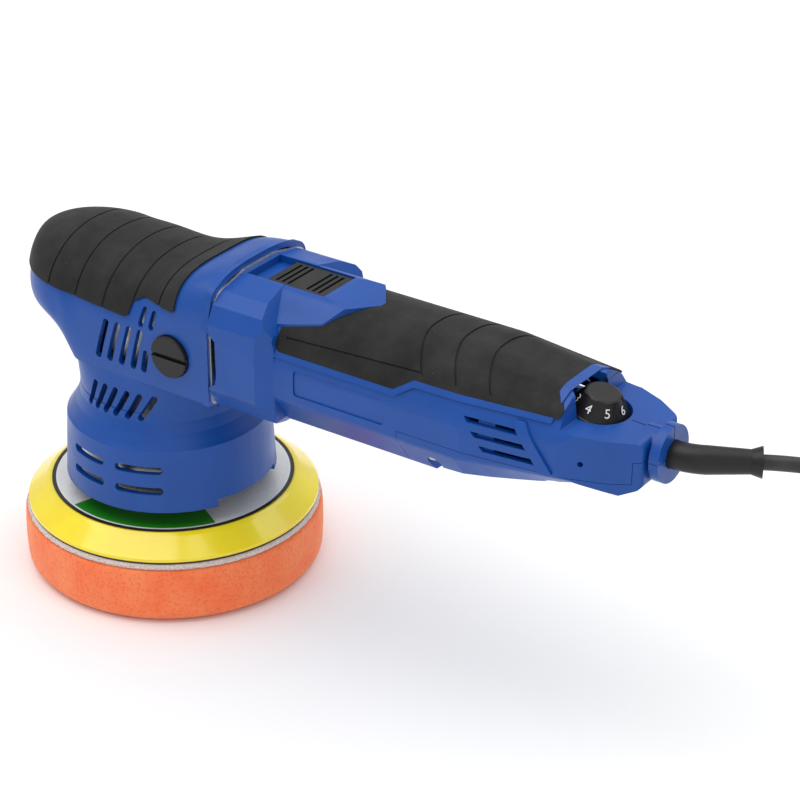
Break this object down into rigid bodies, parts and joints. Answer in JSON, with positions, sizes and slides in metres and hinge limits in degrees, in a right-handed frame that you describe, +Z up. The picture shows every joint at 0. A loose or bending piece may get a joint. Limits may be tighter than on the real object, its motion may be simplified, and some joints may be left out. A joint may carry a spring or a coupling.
{
  "type": "dual action polisher",
  "caption": "corded dual action polisher for 125 mm pads: eccentric head with a foam pad, rubber head and body grips, slide switch, speed dial and coiled mains cord",
  "frame": {"origin": "on the drive spindle's axis in the plane of the foam pad's work face", "axes": "+Z up from the work face along the spindle; +X runs back along the body towards the cord; +Y to the right-hand side when looking along +X from the nose is the body's far side"},
  "size_m": [0.4946, 0.1495, 0.1555],
  "materials": {
    "shell_blue": "satin moulded plastic",
    "grip_rubber": "matte soft-touch rubber with a fine grain",
    "foam_orange": "open-cell polishing foam",
    "loop_pale": "brushed loop pile",
    "hook_dark": "moulded hook sheet",
    "plate_yellow": "glossy cast polyurethane",
    "label_silver": "printed film",
    "black_plastic": "satin moulded plastic",
    "steel": "ground steel",
    "alloy": "die-cast aluminium",
    "copper": "enamelled copper",
    "brass": "turned brass",
    "carbon": "pressed carbon",
    "board_green": "coated circuit board",
    "cord_rubber": "satin rubber sheath",
    "plated": "nickel plating"
  },
  "bodies": {
    "housing": {"head_cover": "shell_blue", "head_grip": "grip_rubber", "skirt": "shell_blue", "motor_housing": "shell_blue", "lower_cover": "shell_blue", "motor_grip": "grip_rubber", "gear_case": "alloy", "socket_plug_near": "black_plastic", "socket_plug_far": "black_plastic", "socket_insert_near": "brass", "socket_insert_far": "brass", "spindle_bearing_lower": "steel", "spindle_bearing_upper": "steel", "armature_bearing_front": "steel", "armature_bearing_rear": "steel", "field_core": "steel", "field_coil_upper": "copper", "field_coil_lower": "copper", "brush_near": "carbon", "brush_far": "carbon", "brush_holder_near": "brass", "brush_holder_far": "brass", "brush_spring_near": "steel", "brush_spring_far": "steel", "switch_body": "black_plastic", "speed_potentiometer": "black_plastic", "speed_board": "board_green", "board_capacitor": "black_plastic", "cord_guard": "black_plastic", "cord_clamp": "black_plastic", "cord_run": "cord_rubber", "cord_coil": "cord_rubber", "plug_body": "black_plastic", "plug_pin_a": "plated", "plug_pin_b": "plated", "flange_screws": "steel", "cover_screws": "steel"},
    "armature": {"armature_shaft": "steel", "armature_core": "steel", "armature_winding_front": "copper", "armature_winding_rear": "copper", "commutator": "copper", "fan": "black_plastic", "pinion": "steel"},
    "spindle": {"drive_spindle": "steel", "crown_gear": "steel", "eccentric_hub": "alloy", "counterweight": "steel", "eccentric_bearing_1": "steel", "eccentric_bearing_2": "steel"},
    "pad": {"pad_spindle": "steel", "plate_insert": "steel", "backing_plate": "plate_yellow", "plate_label": "label_silver", "hook_layer": "hook_dark", "loop_layer": "loop_pale", "foam_pad": "foam_orange"},
    "slider": {"slide_button": "black_plastic", "link_rod": "black_plastic"},
    "dial": {"speed_dial": "black_plastic"}
  },
  "joints": [
    {"name": "armature_spin", "type": "hinge", "parent": "housing", "child": "armature", "pos_m": [0, 0, 0.1226], "axis": [1, 0, 0], "continuous": true},
    {"name": "spindle_spin", "type": "hinge", "parent": "housing", "child": "spindle", "pos_m": [0, 0, 0.1226], "axis": [0, 0, 1], "continuous": true},
    {"name": "pad_spin", "type": "hinge", "parent": "spindle", "child": "pad", "pos_m": [-0.00229, 0.00328, 0.05], "axis": [0, 0, 1], "continuous": true},
    {"name": "switch_slide", "type": "slide", "parent": "housing", "child": "slider", "axis": [-1, 0, 0], "range_m": [0, 0.008]},
    {"name": "dial_turn", "type": "hinge", "parent": "housing", "child": "dial", "pos_m": [0.21, 0, 0.1347], "axis": [0.2079, 0, 0.9781], "range_deg": [-180, 45]}
  ],
  "couplings": [
    {"joint": "spindle_spin", "follows": "armature_spin", "ratio": 0.33333}
  ]
}
